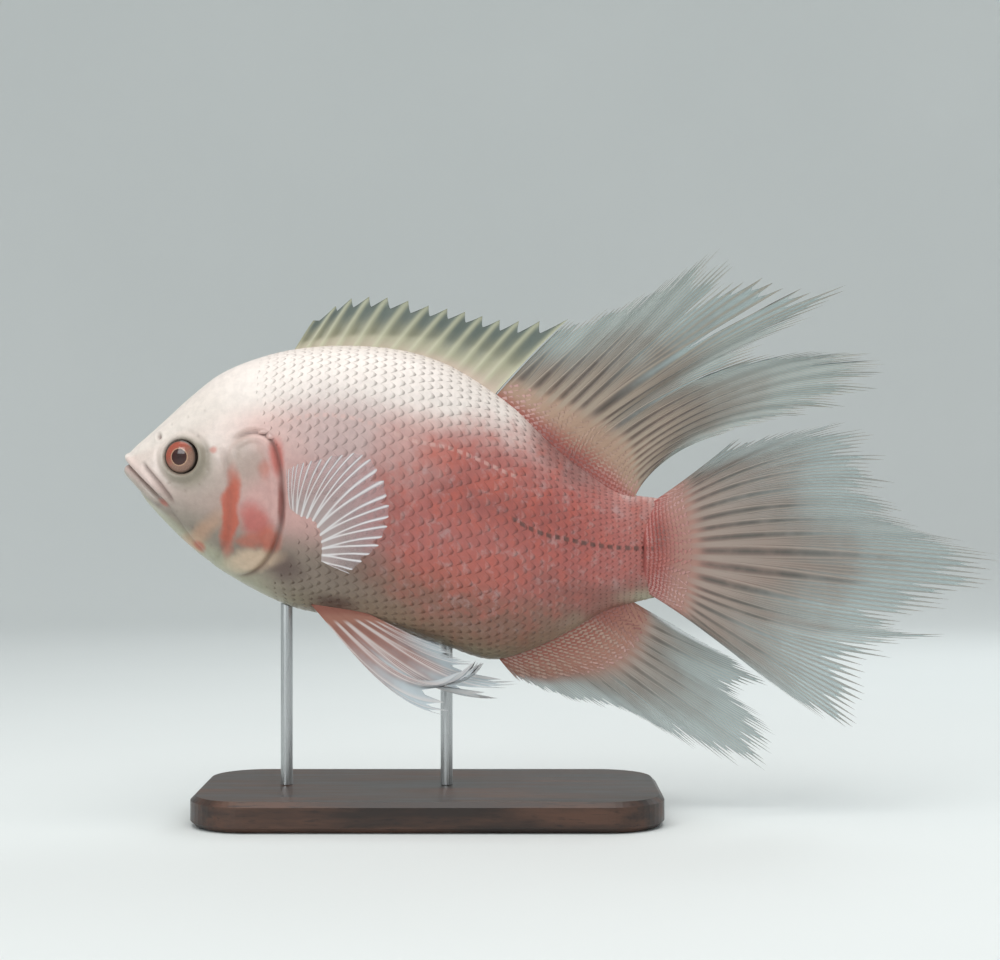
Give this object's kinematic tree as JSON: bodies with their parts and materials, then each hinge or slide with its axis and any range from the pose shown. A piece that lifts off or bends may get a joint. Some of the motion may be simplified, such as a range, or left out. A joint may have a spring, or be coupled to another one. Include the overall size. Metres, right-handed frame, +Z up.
{
  "type": "veil-tailed oscar fish model",
  "caption": "Life-size display model of a long-finned albino oscar cichlid swimming level, pale cream head and red scaled flanks, held on a flat base by short rods.",
  "frame": {"origin": "centre of the underside of the stand's base", "axes": "+X runs from the fish's head towards its tail, +Z is up, and the fish's left flank faces -Y"},
  "size_m": [0.3649, 0.096, 0.2353],
  "materials": {
    "head_skin": "smooth moist skin with a soft sheen, pale cream to grey, with orange patches on the gill cover",
    "scaled_skin": "overlapping small scales with a soft wet sheen, cream on the back to brick red on the flank",
    "eye": "glossy, red iris and dark red pupil under a clear dome",
    "fin": "thin grey-green membrane with fine branching rays and pale blue-grey edges",
    "pale_fin": "thin whitish membrane with fine white rays",
    "rod": "brushed steel",
    "base": "dark stained wood, satin"
  },
  "bodies": {
    "root": {"head": "head_skin", "lower_jaw": "head_skin", "gill_cover_left": "head_skin", "gill_cover_right": "head_skin", "trunk": "scaled_skin", "tail_stem": "scaled_skin", "eye_left": "eye", "eye_right": "eye", "dorsal_fin_spiny": "fin", "dorsal_fin_soft": "fin", "tail_fin": "fin", "anal_fin": "fin", "pectoral_fin_left": "pale_fin", "pectoral_fin_right": "pale_fin", "pelvic_fin_left": "pale_fin", "pelvic_fin_right": "pale_fin", "stand_rod_front": "rod", "stand_rod_rear": "rod", "stand_base": "base"}
  },
  "joints": []
}
